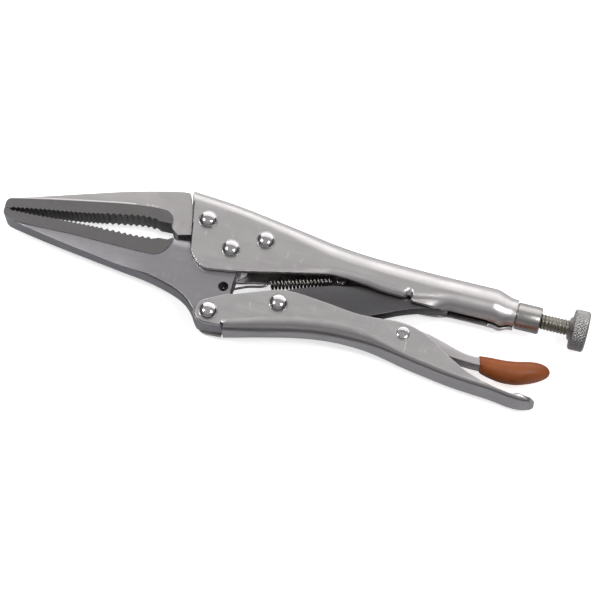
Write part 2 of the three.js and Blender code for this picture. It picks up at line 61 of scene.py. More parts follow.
# ---- Places that come from the frame ---------------------------------------------------
def from_row(p):
    return (np.asarray(p, float) - ORIGIN) / MM


def node_box(node):
    low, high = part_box(node)
    return from_row(low), from_row(high)


def pivot(joint):
    return from_row(JOINTS[joint]["pos_m"])


HINGE = pivot("lower_handle_pivot")
LINK = pivot("link_pivot")
SCREW_Y = pivot("screw_turn")[1]

# Driving sizes, in mm
HALF_WIDTH = 7.0  # of both handles
SHEET = 1.7  # thickness of both handles' steel
HALF_JAW = 5.1
HALF_LINK = 3.0
HALF_LEVER = 3.6
JAW_HOLE = (0.9, -14.7)  # the spring's front end goes in here, in the lower jaw's arm
TAB_HOLE = (42.6, 0.8)  # and its rear end here, in the upper handle's tab


# ---- Curves in the plane ---------------------------------------------------------------
def lerp(a, b, t):
    return a + (b - a) * t


def smoothstep(x, low, high):
    t = np.clip((np.asarray(x, float) - low) / (high - low), 0, 1)
    return t * t * (3 - 2 * t)


def spline(pairs, divisions):
    """Uniform Catmull-Rom curve through given points."""
    p = np.array(pairs, float)
    last = len(p) - 1
    run = []
    for k in range(divisions + 1):
        at = last * k / divisions
        i = min(int(at), last - 1)
        t = at - i
        p0, p1, p2, p3 = p[max(i - 1, 0)], p[i], p[i + 1], p[min(i + 2, last)]
        v0, v1 = (p2 - p0) / 2, (p3 - p1) / 2
        run.append((2 * (p1 - p2) + v0 + v1) * t**3 + (3 * (p2 - p1) - 2 * v0 - v1) * t**2 + v0 * t + p1)
    return np.array(run)


def arc(centre, radius, start, end, steps):
    angles = np.radians(np.linspace(start, end, steps + 1))
    return np.stack([centre[0] + radius * np.cos(angles), centre[1] + radius * np.sin(angles)], 1)


def path(*runs):
    return np.concatenate([np.atleast_2d(np.array(run, float)) for run in runs])


def height_at(line, x):
    """Height of a left-to-right line at x."""
    return np.interp(x, line[:, 0], line[:, 1])


def along(line, count):
    """The same line as evenly spaced points."""
    steps = np.hypot(*np.diff(line, axis=0).T)
    length = np.concatenate([[0], np.cumsum(steps)])
    at = np.linspace(0, length[-1], count)
    return np.stack([np.interp(at, length, line[:, 0]), np.interp(at, length, line[:, 1])], 1)


# ---- Meshes ----------------------------------------------------------------------------
def new_object(name, points, faces):
    mesh = bpy.data.meshes.new(name)
    corners = [tuple(ORIGIN + np.asarray(p, float) * MM) for p in points]
    mesh.from_pydata(corners, [], [tuple(map(int, face)) for face in faces])
    body = bmesh.new()
    body.from_mesh(mesh)
    bmesh.ops.remove_doubles(body, verts=body.verts, dist=1e-7)
    bmesh.ops.delete(body, geom=[v for v in body.verts if not v.link_faces], context="VERTS")
    bmesh.ops.recalc_face_normals(body, faces=body.faces)
    body.to_mesh(mesh)
    body.free()
    mesh.shade_smooth()
    made = bpy.data.objects.new(name, mesh)
    bpy.context.scene.collection.objects.link(made)
    return made


def sheet_metal(name, outer, inner, mask):
    """A closed body between two grids of points; mask says which cells are metal."""
    rows, cols = outer.shape[:2]
    count = rows * cols
    points = np.concatenate([outer.reshape(-1, 3), inner.reshape(-1, 3)])
    faces, edges = [], set()
    for i in range(rows - 1):
        for j in range(cols - 1):
            if not mask[i][j]:
                continue
            a = i * cols + j
            cell = [a, a + 1, a + cols + 1, a + cols]
            faces.append(cell)
            faces.append([v + count for v in reversed(cell)])
            edges.update(zip(cell, cell[1:] + cell[:1]))
    for a, b in edges:
        if (b, a) not in edges:
            faces.append([b, a, a + count, b + count])
    return new_object(name, points, faces)


def loft(name, rings):
    """A body through rings of points with the same count."""
    rings = [np.asarray(ring, float) for ring in rings]
    count = len(rings[0])
    faces = []
    for i in range(len(rings) - 1):
        for j in range(count):
            a, b = i * count + j, i * count + (j + 1) % count
            faces.append([a, b, b + count, a + count])
    faces.append(list(range(count))[::-1])
    faces.append([(len(rings) - 1) * count + j for j in range(count)])
    return new_object(name, np.concatenate(rings), faces)


def outward(outline):
    """Unit normals of a closed anticlockwise outline, pointing out."""
    ahead = np.roll(outline, -1, 0) - outline
    behind = outline - np.roll(outline, 1, 0)
    ahead /= np.maximum(np.linalg.norm(ahead, axis=1, keepdims=True), 1e-9)
    behind /= np.maximum(np.linalg.norm(behind, axis=1, keepdims=True), 1e-9)
    mean = ahead + behind
    mean /= np.maximum(np.linalg.norm(mean, axis=1, keepdims=True), 1e-9)
    return np.stack([mean[:, 1], -mean[:, 0]], 1)


def anticlockwise(outline):
    x, y = outline.T
    area = np.sum(x * np.roll(y, -1) - np.roll(x, -1) * y)
    return outline if area > 0 else outline[::-1]


def at_height(outline, z):
    z = np.broadcast_to(z, len(outline))
    return np.column_stack([outline, z])


def plate(name, outline, half, rounding=0.0, steps=4):
    """A flat plate with its rims rounded; rounding may differ from point to point."""
    outline = np.asarray(outline, float)
    radius = np.broadcast_to(np.asarray(rounding, float), len(outline))
    if anticlockwise(outline) is not outline:
        outline, radius = outline[::-1], radius[::-1]
    normals = outward(outline)
    rings = []
    angles = np.linspace(0, math.pi / 2, steps + 1) if np.any(radius > 0) else [math.pi / 2]
    for side in (-1, 1):
        for angle in angles:
            turn = angle if side > 0 else math.pi / 2 - angle
            ring = outline - normals * (radius * (1 - math.cos(turn)))[:, None]
            rings.append(at_height(ring, side * (half - radius * (1 - math.sin(turn)))))
    return loft(name, rings)


def evaluated(obj):
    graph = bpy.context.evaluated_depsgraph_get()
    return bpy.data.meshes.new_from_object(obj.evaluated_get(graph))


def carved(body, tool):
    """The body with the tool cut out of it; the tool goes."""
    modifier = body.modifiers.new("boolean", "BOOLEAN")
    modifier.operation = "DIFFERENCE"
    modifier.solver = "EXACT"
    modifier.object = tool
    bpy.context.view_layer.update()
    mesh = evaluated(body)
    body.modifiers.clear()
    body.data = mesh
    bpy.data.objects.remove(tool)
    return body


def ease_edges(obj, width, segments=2, angle=40, clamp=True):
    """Small rounding on every sharp edge, with flat faces kept flat."""
    modifier = obj.modifiers.new("edges", "BEVEL")
    modifier.width = width * MM
    modifier.segments = segments
    modifier.limit_method = "ANGLE"
    modifier.angle_limit = math.radians(angle)
    modifier.use_clamp_overlap = clamp
    flat = obj.modifiers.new("flat_faces", "WEIGHTED_NORMAL")
    flat.mode = "FACE_AREA"
    flat.weight = 80
    flat.keep_sharp = False
    return obj


def sharpen(obj, degrees=35):
    obj.data.set_sharp_from_angle(angle=math.radians(degrees))
    return obj


def turned(name, profile, centre, axis, sides):
    """A body of revolution; its profile is (radius, distance along the axis) pairs."""
    rings = []
    for radius, distance in profile:
        ring = []
        for k in range(sides):
            angle = 2 * math.pi * k / sides
            c, s = radius * math.cos(angle), radius * math.sin(angle)
            ring.append((centre[0] + c, centre[1] + s, distance) if axis == "Z"
                        else (distance, centre[1] + c, centre[2] + s))
        rings.append(ring)
    return loft(name, rings)


# ---- Materials -------------------------------------------------------------------------
def noise(tree, vector, scale, detail=3.0, stretch=(1, 1, 1), distortion=0.0):
    """Noise in object space; scale is in features per metre."""
    mapping = tree.nodes.new("ShaderNodeMapping")
    mapping.inputs["Scale"].default_value = stretch
    tree.links.new(vector, mapping.inputs["Vector"])
    texture = tree.nodes.new("ShaderNodeTexNoise")
    texture.inputs["Scale"].default_value = scale
    texture.inputs["Detail"].default_value = detail
    texture.inputs["Distortion"].default_value = distortion
    tree.links.new(mapping.outputs["Vector"], texture.inputs["Vector"])
    return texture.outputs["Fac"]


def spread(tree, value, low, high, start=0.3, end=0.7):
    """Maps a noise value to a range."""
    ranged = tree.nodes.new("ShaderNodeMapRange")
    ranged.inputs["From Min"].default_value = start
    ranged.inputs["From Max"].default_value = end
    ranged.inputs["To Min"].default_value = low
    ranged.inputs["To Max"].default_value = high
    tree.links.new(value, ranged.inputs["Value"])
    return ranged.outputs["Result"]


def mixed(tree, factor, low, high):
    """A colour between two, by a factor."""
    mix = tree.nodes.new("ShaderNodeMix")
    mix.data_type = "RGBA"
    tree.links.new(factor, mix.inputs["Factor"])
    for value, name in ((low, "A"), (high, "B")):
        socket = [s for s in mix.inputs if s.name == name and s.type == "RGBA"][0]
        if hasattr(value, "is_linked"):
            tree.links.new(value, socket)
        else:
            socket.default_value = (*value, 1)
    return [s for s in mix.outputs if s.type == "RGBA"][0]


def ramp(tree, value, stops):
    """A colour ramp through (position, colour) stops."""
    made = tree.nodes.new("ShaderNodeValToRGB")
    elements = made.color_ramp.elements
    for element, (position, colour) in zip(elements, (stops[0], stops[-1])):
        element.position, element.color = position, (*colour, 1)
    for position, colour in stops[1:-1]:
        elements.new(position).color = (*colour, 1)
    tree.links.new(value, made.inputs["Fac"])
    return made.outputs["Color"]


def maths(tree, operation, a, b=0.0):
    made = tree.nodes.new("ShaderNodeMath")
    made.operation = operation
    for socket, value in zip(made.inputs, (a, b)):
        if hasattr(value, "is_linked"):
            tree.links.new(value, socket)
        else:
            socket.default_value = value
    return made.outputs["Value"]


def bumped(tree, shader, height, strength, distance):
    bump = tree.nodes.new("ShaderNodeBump")
    bump.inputs["Strength"].default_value = strength
    bump.inputs["Distance"].default_value = distance
    tree.links.new(height, bump.inputs["Height"])
    tree.links.new(bump.outputs["Normal"], shader.inputs["Normal"])


def start_material(name):
    material = bpy.data.materials.new(name)
    material.use_nodes = True
    tree = material.node_tree
    shader = tree.nodes["Principled BSDF"]
    vector = tree.nodes.new("ShaderNodeTexCoord").outputs["Object"]
    return material, tree, shader, vector


def worn_edges(tree, radius):
    """1 on worn outer edges, 0 on open faces."""
    rounded = tree.nodes.new("ShaderNodeBevel")
    rounded.samples = 4
    rounded.inputs["Radius"].default_value = radius
    plain = tree.nodes.new("ShaderNodeNewGeometry")
    product = tree.nodes.new("ShaderNodeVectorMath")
    product.operation = "DOT_PRODUCT"
    tree.links.new(rounded.outputs["Normal"], product.inputs[0])
    tree.links.new(plain.outputs["Normal"], product.inputs[1])
    return spread(tree, product.outputs["Value"], 1.0, 0.0, 0.86, 0.99)


def plated_metal(name, light, dark, smooth, rough, brush=(60, 1400, 1400), grain=0.25, wear=0.5):
    """Satin plating: cloudy sheen, fine brushing and grain, brighter worn edges."""
    material, tree, shader, vector = start_material(name)
    clouds = noise(tree, vector, 55, 4, distortion=0.6)
    patches = noise(tree, vector, 240, 3)
    brushing = noise(tree, vector, 1.0, 2, stretch=brush)
    sand = noise(tree, vector, 5200, 2)
    scratches = spread(tree, noise(tree, vector, 1.0, 1, stretch=(900, 160, 900)), 0.0, 1.0, 0.66, 0.74)
    edges = worn_edges(tree, 0.0006)
    tone = maths(tree, "ADD", maths(tree, "MULTIPLY", clouds, 0.65), maths(tree, "MULTIPLY", patches, 0.35))
    colour = mixed(tree, spread(tree, tone, 0.0, 1.0, 0.35, 0.65), dark, light)
    worn = maths(tree, "MULTIPLY", edges, wear)
    bright = tuple(min(1.0, 1.12 * c) for c in light)
    tree.links.new(mixed(tree, worn, colour, bright), shader.inputs["Base Color"])
    rough_base = spread(tree, tone, rough, smooth, 0.35, 0.65)
    rough_fine = maths(tree, "ADD", rough_base, spread(tree, brushing, -0.02, 0.03))
    rough_worn = maths(tree, "SUBTRACT", rough_fine, maths(tree, "MULTIPLY", worn, 0.08))
    roughness = maths(tree, "ADD", rough_worn, maths(tree, "MULTIPLY", scratches, 0.1))
    tree.links.new(roughness, shader.inputs["Roughness"])
    shader.inputs["Metallic"].default_value = 1.0
    height = maths(tree, "ADD", maths(tree, "MULTIPLY", sand, 0.5), maths(tree, "MULTIPLY", brushing, 0.25))
    height = maths(tree, "SUBTRACT", height, maths(tree, "MULTIPLY", scratches, 0.2))
    bumped(tree, shader, height, grain, 0.00006)
    return material


def dipped_vinyl(name):
    """Thick glossy coating, deeper in tone where it pooled, with soft dimples."""
    material, tree, shader, vector = start_material(name)
    clouds = noise(tree, vector, 120, 3, distortion=0.8)
    specks = noise(tree, vector, 2600, 2)
    colour = mixed(tree, spread(tree, clouds, 0.0, 1.0), (0.25, 0.058, 0.006), (0.35, 0.086, 0.010))
    grime = spread(tree, noise(tree, vector, 420, 5), 0.0, 0.35, 0.5, 0.8)
    tree.links.new(mixed(tree, grime, colour, (0.19, 0.045, 0.016)), shader.inputs["Base Color"])
    tree.links.new(spread(tree, clouds, 0.42, 0.56), shader.inputs["Roughness"])
    shader.inputs["IOR"].default_value = 1.5
    shader.inputs["Coat Weight"].default_value = 0.06
    shader.inputs["Coat Roughness"].default_value = 0.35
    height = maths(tree, "ADD", maths(tree, "MULTIPLY", clouds, 0.8), maths(tree, "MULTIPLY", specks, 0.12))
    bumped(tree, shader, height, 0.35, 0.0002)
    return material


SATIN = plated_metal("satin_nickel", (0.63, 0.605, 0.60), (0.57, 0.55, 0.545), 0.29, 0.37)
JAW = plated_metal("fixed_jaw_plate", (0.58, 0.556, 0.55), (0.52, 0.50, 0.495), 0.32, 0.42, grain=0.4)
# Painted shade: a darker copy of the jaw plating for the lower jaw, which faces away from the lights.
SHADED_JAW_PLATE = plated_metal("lower_jaw_plate_painted_shade", (0.40, 0.385, 0.40), (0.33, 0.32, 0.335), 0.32, 0.42, grain=0.4)
# Painted shade: a darker copy of the plating for the toothed leaf and its teeth, for the darker reflection
# and shade they show.
SHADED_LEAF_PLATE = plated_metal("jaw_leaf_painted_shade", (0.225, 0.215, 0.21), (0.17, 0.165, 0.165), 0.32, 0.44, grain=0.5, wear=0.9)
POLISHED = plated_metal("polished_rivet", (0.72, 0.71, 0.71), (0.62, 0.61, 0.61), 0.09, 0.17,
                        brush=(700, 700, 300), grain=0.06, wear=0.2)
# Painted shadow: the link's steel is made dark for the shadow it lies in under the upper handle.
SHADED_LINK_STEEL = plated_metal("link_steel_painted_shade", (0.17, 0.165, 0.168), (0.12, 0.117, 0.12), 0.28, 0.40, grain=0.35)
SPRING = plated_metal("spring_wire", (0.34, 0.32, 0.30), (0.22, 0.21, 0.20), 0.22, 0.32, grain=0.1)
SCREW = plated_metal("screw_thread", (0.40, 0.385, 0.33), (0.28, 0.27, 0.23), 0.28, 0.42, grain=0.2, wear=0.8)
KNOB = plated_metal("knurled_knob", (0.46, 0.45, 0.435), (0.35, 0.34, 0.33), 0.30, 0.42, grain=0.3, wear=0.6)
COLLAR = plated_metal("turned_collar", (0.47, 0.455, 0.435), (0.38, 0.37, 0.355), 0.24, 0.34,
                      brush=(900, 30, 30), grain=0.12)
ORANGE = dipped_vinyl("dipped_orange")


def finish_piece(obj, body, material, slot, *nodes):
    obj.data.materials.clear()
    obj.data.materials.append(material)
    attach(obj, body)
    if nodes:
        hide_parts(*nodes)
    return obj


# ---- Upper handle ----------------------------------------------------------------------
TUBE_RADIUS, TUBE_END_RADIUS, TUBE_END_SHEET = 7.4, 5.9, 1.3
TUBE_LIP_DEG = 66  # how far below level each wall curls
TUBE_CURL = (66, 86)  # where the walls turn into the tube
SLOT_HALF_WIDTH = 3.3
SWAGE_X = 100.5
TUBE_END_X = node_box("upper_handle")[1][0]
UPPER_FOOT = -13.0
UPPER_TOP = spline([[-22, 21.0], [-4, 19.5], [12, 17.3], [25, 15.5], [38, 13.6], [50, 12.4], [64, 11.8],
                    [78, 11.5], [90, 11.5], [100, 11.5]], 120)
CORNER_STEPS = 16
FRONT_CORNER = arc((-5.2, 0.2), 10.3, 190, 258, CORNER_STEPS)
LEANING_X, UPRIGHT_X = -6.4, 10.0
LOWER_EDGE = path(
    FRONT_CORNER[-1:],
    spline([[4.6, -8.2], [20, -4.6], [35, -1.2], [40, -0.4], [50, -0.6], [60, -1.8], [66.6, -2.1]], 60),
    [[67.6, -1.8], [68.1, -1.5], [68.6, -1.0], [69.2, -0.8], [69.8, -0.9], [70.3, -1.6], [70.8, -3.1],
     [96, -3.3], [99, -6], [130, -6]])


def swage(x):
    """0 along the tube, 1 where it is pressed down onto the nut."""
    return float(smoothstep(x, SWAGE_X, TUBE_END_X - 1))


def tube_radius(x):
    """Half width of the handle: straight at the front, a tube behind, swaged down at the nut."""
    return lerp(lerp(HALF_WIDTH, TUBE_RADIUS, smoothstep(x, 55, 80)), TUBE_END_RADIUS, swage(x))


def upper_top(x):
    return lerp(height_at(UPPER_TOP, min(x, 100)), SCREW_Y + TUBE_END_RADIUS, swage(x))


def slot_half_width(x):
    return SLOT_HALF_WIDTH * (1 - smoothstep(x, 99.6, 101.2)) if x > 62 else 0.0


def upper_wall(x, inset, t):
    """Point of the wall (z, y) at t, from 0 under the top bend to 1 at the untrimmed foot."""
    top, radius = upper_top(x), tube_radius(x)
    bend = min(lerp(5.0, TUBE_RADIUS, smoothstep(x, 0, 50)), radius)
    half, centre = radius - inset, top - bend
    angle = math.radians(-TUBE_LIP_DEG * t)
    lobe = math.sin(math.pi * float(smoothstep(x, 100, TUBE_END_X))) ** 2
    height = lerp(centre, UPPER_FOOT, t)
    wall = np.array([half - edge_curl(x, height), height])
    tube = np.array([half * math.cos(angle), centre + half * math.sin(angle) - lobe * t * t])
    return lerp(wall, tube, float(smoothstep(x, *TUBE_CURL))), bend, centre, radius


def edge_curl(x, y):
    """How far the wall's lower edge rolls inwards."""
    reach = 3.0
    near = np.clip(1 - (y - height_at(LOWER_EDGE, x)) / reach, 0, 1)
    return lerp(0.25, 1.3, float(smoothstep(x, 15, 58))) * near**2 if x > 8 else 0.0


def wall_end(x, inset):
    """How far down the wall runs at x before the lower edge or the slot trims it."""
    foot, slot = height_at(LOWER_EDGE, x), slot_half_width(x)
    steps = 160
    for t in np.linspace(0, 1, steps + 1):
        (z, y), _, _, _ = upper_wall(x, inset, t)
        if y < foot or (t > 0.3 and z < slot):
            return max(t - 0.5 / steps, 0.05)
    return 1.0


WALL_ROWS, BEND_ROWS, TOP_ROWS = 14, 9, 3


def upper_half_section(x, inset):
    end = wall_end(x, inset)
    run = []
    for k in range(WALL_ROWS, 0, -1):
        run.append(upper_wall(x, inset, end * k / WALL_ROWS)[0])
    _, bend, centre, radius = upper_wall(x, inset, 0)
    for angle in np.radians(np.linspace(0, 90, BEND_ROWS + 1)):
        out, up = (bend - inset) * math.cos(angle), (bend - inset) * math.sin(angle)
        run.append([radius - bend + out, centre + up])
    crown = run[-1]
    for k in range(1, TOP_ROWS + 1):
        run.append([crown[0] * (1 - k / TOP_ROWS), crown[1]])
    return np.array(run)


def upper_stations():
    """Where each cross-section stands: x at the top, x at the foot, and the foot's height on the corner.

    The sections lean with the front edge at first, then less and less up to UPRIGHT_X. They are closest
    together round the hooked notch in the lower edge.
    """
    found = []
    for k, foot in enumerate(FRONT_CORNER):
        found.append((lerp(-20.35, -10.0, (k / CORNER_STEPS) ** 1.1), foot[0], foot[1]))
    for x in np.arange(LEANING_X, UPRIGHT_X, 0.82):
        share = (x - LEANING_X) / (UPRIGHT_X - LEANING_X)
        found.append((lerp(-9.2, UPRIGHT_X, share), x, None))
    notch = [66.6, 67.2, 67.7, 68.1, 68.35, 68.6, 69.0, 69.5, 70.0, 70.35, 70.6, 70.85, 71.3]
    upright = [*np.arange(UPRIGHT_X, 66.0, 1.0), *notch, *np.arange(72.0, 99.4, 0.9),
               *np.linspace(99.6, TUBE_END_X - 0.45, 22), TUBE_END_X]
    return found + [(x, x, None) for x in upright]


def front_edge_x(y):
    return np.interp(y, [FRONT_CORNER[0][1], 1.0, 24.0], [FRONT_CORNER[0][0], -15.6, -21.1])


def slanted(section, top_x, foot_x, foot_y, first):
    """Places a half-section on a slanted line from the top bend to a foot point."""
    ys = section[:, 1]
    top_y = ys[-1]
    if foot_y is not None:
        wall = ys[:WALL_ROWS]
        scaled = lerp(foot_y, ys[WALL_ROWS], (wall - wall[0]) / (ys[WALL_ROWS] - wall[0]))
        section = section.copy()
        section[:WALL_ROWS, 1] = scaled
        ys = section[:, 1]
    share = (ys - ys[0]) / (top_y - ys[0])
    xs = front_edge_x(ys) if first else lerp(foot_x, top_x, share)
    return np.column_stack([xs, ys, section[:, 0]])


def upper_skin(depth_of):
    rings = []
    for k, (top_x, foot_x, foot_y) in enumerate(upper_stations()):
        x = lerp(foot_x, top_x, 0.5) if foot_x != top_x else top_x
        section = upper_half_section(x, depth_of(x))
        crown = upper_top(top_x) - depth_of(x)
        section[WALL_ROWS:, 1] += crown - section[-1, 1]
        half = slanted(section, top_x, foot_x, foot_y, k == 0)
        mirrored = half[::-1][1:] * (1, 1, -1)
        rings.append(np.concatenate([half, mirrored]))
    return np.array(rings)


def upper_handle():
    outer = upper_skin(lambda x: 0.0)
    inner = upper_skin(lambda x: lerp(SHEET, TUBE_END_SHEET, swage(x)))
    mask = np.ones((outer.shape[0] - 1, outer.shape[1] - 1), bool)
    handle = sheet_metal("upper_handle_shell", outer, inner, mask)
    return ease_edges(handle, 0.3, 3, 50, clamp=False)


finish_piece(upper_handle(), "upper_handle_body", SATIN, "satin_nickel", "upper_handle")


def spring_tab():
    outline = np.array([[40.4, 9.8], [40.9, 0.4], [41.6, -0.9], [43.6, -0.9], [44.9, 0.6], [46.0, 9.6]])
    tab = plate("spring_tab", outline, SHEET / 2)
    hole = turned("tab_hole", [(1.3, -3), (1.3, 3)], TAB_HOLE, "Z", 24)
    return ease_edges(carved(tab, hole), 0.15, 2, 40)


finish_piece(spring_tab(), "upper_handle_body", SATIN, "satin_nickel")


# ---- Lower handle ----------------------------------------------------------------------
LOWER_BOTTOM = spline([[5, -31.8], [18, -28.9], [30, -26.0], [40, -24.3], [50, -23.7], [62, -24.1],
                       [78, -26.7], [92, -28.7], [106, -29.8], [114, -30.8], [120, -31.0],
                       [124.5, -30.3]], 120)
LOWER_TOP = path(
    spline([[5, -17.7], [12, -15], [20.6, -11.8], [25.5, -11], [31.5, -11.2], [42, -12.3],
            [52, -13.4], [60, -13.2], [67, -12.6], [73, -13.1], [78, -14.5]], 70),
    spline([[83, -17.1], [91.2, -22.4], [96.5, -25], [102, -27], [108, -28.5], [114, -29.3],
            [119, -29.4]], 40),
    [[121.3, -28.7], [126, -28.7]])
EAR = 4.9
WEB_ROWS, SIDE_ROWS = 4, 20
TONGUE_END_X = node_box("lower_handle")[1][0]
TONGUE_X, TONGUE_ROUND = 112.0, 6.6


def bend_radius(x):
    """Wide at the front, tight where the fingers go."""
    front = lerp(4.6, 6.4, smoothstep(x, 4, 20))
    return lerp(lerp(front, 2.4, smoothstep(x, 48, 76)), 1.9, smoothstep(x, 76, 100))


def lower_side(x, bottom, top, inset):
    """Points (z, y) from the web's edge round the bend and up the wall, finer in the bend."""
    bend = bend_radius(x)
    centre_z, centre_y = HALF_WIDTH - bend, bottom + bend
    radius = bend - inset
    swept = math.pi / 2 + math.asin(np.clip((top - centre_y) / radius, -1, 0))
    bend_length, wall_length = swept * bend, max(0.0, top - centre_y)
    fine = 3.0
    total = fine * bend_length + wall_length
    run = []
    for k in range(SIDE_ROWS + 1):
        at = total * k / SIDE_ROWS
        if at <= fine * bend_length:
            angle = -math.pi / 2 + at / fine / bend
            run.append([centre_z + radius * math.cos(angle), centre_y + radius * math.sin(angle)])
        else:
            run.append([centre_z + radius, centre_y + at - fine * bend_length])
    return run


def tongue_x(x, z):
    """Pulls the rear stations in towards the edges, so the tongue's end is round."""
    over = max(0.0, abs(z) - (HALF_WIDTH - TONGUE_ROUND))
    end = TONGUE_END_X - TONGUE_ROUND + math.sqrt(max(0.0, TONGUE_ROUND**2 - over**2))
    if x <= TONGUE_X:
        return x
    return TONGUE_X + (x - TONGUE_X) * (end - TONGUE_X) / (TONGUE_END_X - TONGUE_X)


CHANNEL_X, EAR_BACK_X = 5.0, 3.9
EAR_BOTTOM = -30.7
EAR_COLUMNS, NOTCH_ROWS = 14, 9


def channel_section(x, inset):
    """Right half of the channel across x, from the middle of the web to the wall's top."""
    side = lower_side(x, height_at(LOWER_BOTTOM, x), height_at(LOWER_TOP, x), inset)
    web = [[side[0][0] * k / WEB_ROWS, side[0][1]] for k in range(WEB_ROWS)]
    return np.array(web + side)


def ear_back():
    """The ear's last column, spaced like the channel's first section."""
    heights = channel_section(CHANNEL_X, 0.0)[WEB_ROWS:, 1].copy()
    heights[:NOTCH_ROWS + 1] = np.linspace(EAR_BOTTOM, heights[NOTCH_ROWS] + 0.2, NOTCH_ROWS + 1)
    return np.column_stack([np.full(SIDE_ROWS + 1, EAR_BACK_X), heights])


def ear_grid(columns):
    """The flat ear round the hinge, as columns of points from its bottom edge to its top edge."""
    back = ear_back()
    top = along(path(arc(HINGE, EAR, 150, 114, 12), back[-1:]), columns)
    bottom = along(path(arc(HINGE, EAR, 234, 268, 12), back[:1]), columns)
    front = along(arc(HINGE, EAR, 234, 150, 40), SIDE_ROWS + 1)
    ts = (back[:, 1] - back[0, 1]) / (back[-1, 1] - back[0, 1])
    grid = []
    for i, s in enumerate(np.linspace(0, 1, columns)):
        column = []
        for j, even in enumerate(np.linspace(0, 1, SIDE_ROWS + 1)):
            t = lerp(even, ts[j], s)
            ruled = lerp(bottom[i], top[i], t) + lerp(front[j], back[j], s)
            corners = lerp(lerp(bottom[0], top[0], t), lerp(bottom[-1], top[-1], t), s)
            column.append(ruled - corners)
        grid.append(column)
    return np.array(grid)


def lower_skin(inset):
    rings = []
    z = HALF_WIDTH - inset
    for column in ear_grid(EAR_COLUMNS):
        side = [(x, y, z) for x, y in column]
        web = [(side[0][0], side[0][1], z * k / WEB_ROWS) for k in range(WEB_ROWS)]
        half = np.array(web + side)
        rings.append(np.concatenate([half[::-1] * (1, 1, -1), half[1:]]))
    stations = [*np.arange(CHANNEL_X, TONGUE_X, 1.0), *np.linspace(TONGUE_X, TONGUE_END_X, 12)]
    for x in stations:
        half = channel_section(x, inset)
        full = np.concatenate([half[::-1] * (-1, 1), half[1:]])
        rings.append([(tongue_x(x, z), y, z) for z, y in full])
    return np.array(rings)


def lower_handle():
    """Two ears and a channel; the web, and the bends by a small notch, start behind the ears."""
    outer, inner = lower_skin(0.0), lower_skin(SHEET)
    mask = np.ones((outer.shape[0] - 1, outer.shape[1] - 1), bool)
    mask[:EAR_COLUMNS, SIDE_ROWS:SIDE_ROWS + 2 * WEB_ROWS] = False
    reach = WEB_ROWS + NOTCH_ROWS
    middle = SIDE_ROWS + WEB_ROWS
    mask[EAR_COLUMNS - 1, middle - reach:middle + reach] = False
    handle = sheet_metal("lower_handle_shell", outer, inner, mask)
    return ease_edges(handle, 0.22, 3, 50, clamp=False)


finish_piece(lower_handle(), "lower_handle_body", SATIN, "satin_nickel", "lower_handle")


# ---- Jaws ------------------------------------------------------------------------------
LEAF_ROOT_X, NOSE_X, NOSE_THINNING = -23.0, -88.0, 0.13
STEP = 0.35  # how far the toothed leaf stands proud of the jaw round it
FIXED_SLOPE, LOWER_SLOPE = 0.05, 0.17  # how steeply the strips outside the leaf fall away
HUB = 8.5


def teeth(line, side):
    """Rounded saw teeth along a line, coarse at the back and fine at the nose."""
    dense = along(spline(line, 200), 1200)
    steps = np.hypot(*np.diff(dense, axis=0).T)
    length = np.concatenate([[0], np.cumsum(steps)])
    run, at = [], 0.0
    while at < length[-1] - 1.7:
        x = np.interp(at, length, dense[:, 0])
        pitch, depth = (2.3, 0.75) if x > -52 else (1.7, 0.5)
        for share, bite in ((0.0, 0.06), (0.12, 0.0), (0.48, 0.94), (0.56, 1.0), (0.64, 0.94)):
            s = at + share * pitch
            px, py = np.interp(s, length, dense[:, 0]), np.interp(s, length, dense[:, 1])
            run.append([px, py + side * depth * bite])
        at += pitch
    run.append(dense[-1])
    return np.array(run)


def around_leaf(outline, side, slope_width):
    """Lowers one face of a jaw everywhere but on its toothed leaf, down a sloping step."""
    outline = anticlockwise(np.asarray(outline, float))
    foot = outline - outward(outline) * slope_width
    return loft("around_leaf", [at_height(foot, side * (HALF_JAW - STEP)),
                                at_height(outline, side * HALF_JAW),
                                at_height(outline, side * (HALF_JAW + 6))])


def strip_slope(inner, outer, side, steepness, fade):
    """Slopes the strip between the leaf and the jaw's outer edge, fading out towards its root."""
    rings = []
    for x in np.linspace(-93, fade[1], 40):
        slope = steepness * (1 - float(smoothstep(x, *fade)))
        start, end = height_at(inner, x), height_at(outer, x)
        floor = HALF_JAW - STEP + 0.004
        rings.append([(x, start, side * floor), (x, end, side * (floor - slope * abs(end - start))),
                      (x, end, side * 12), (x, start, side * 12)])
    return loft("strip_slope", rings)


def thickness_share(x):
    """A jaw's thickness at x over its full thickness, falling evenly from the leaf's root to the nose."""
    return 1 - NOSE_THINNING * min(1.0, max(0.0, (LEAF_ROOT_X - x) / (LEAF_ROOT_X - NOSE_X)))


def thinned_to_nose(obj):
    """Tapers a jaw's thickness evenly from the leaf's root to the nose."""
    body = bmesh.new()
    body.from_mesh(obj.data)
    root = Vector(ORIGIN + np.array([LEAF_ROOT_X, 0, 0]) * MM)
    everything = body.verts[:] + body.edges[:] + body.faces[:]
    bmesh.ops.bisect_plane(body, geom=everything, plane_co=root, plane_no=(1, 0, 0), dist=1e-7)
    for vert in body.verts:
        x, _, z = from_row(vert.co)
        vert.co.z = ORIGIN[2] + z * thickness_share(x) * MM
    body.to_mesh(obj.data)
    body.free()
    return obj


FIXED_LEAF_EDGE = spline([[-95, -2], [-83.5, 0.7], [-70, 3.6], [-57.6, 6], [-46, 8.2], [-35, 9.7],
                          [-29.8, 9.9]], 50)
FIXED_BACK = spline([[-23.6, 18.9], [-33, 16.9], [-44.6, 13.8], [-58.4, 9.4], [-75.8, 3.7], [-85, 0.8]], 48)


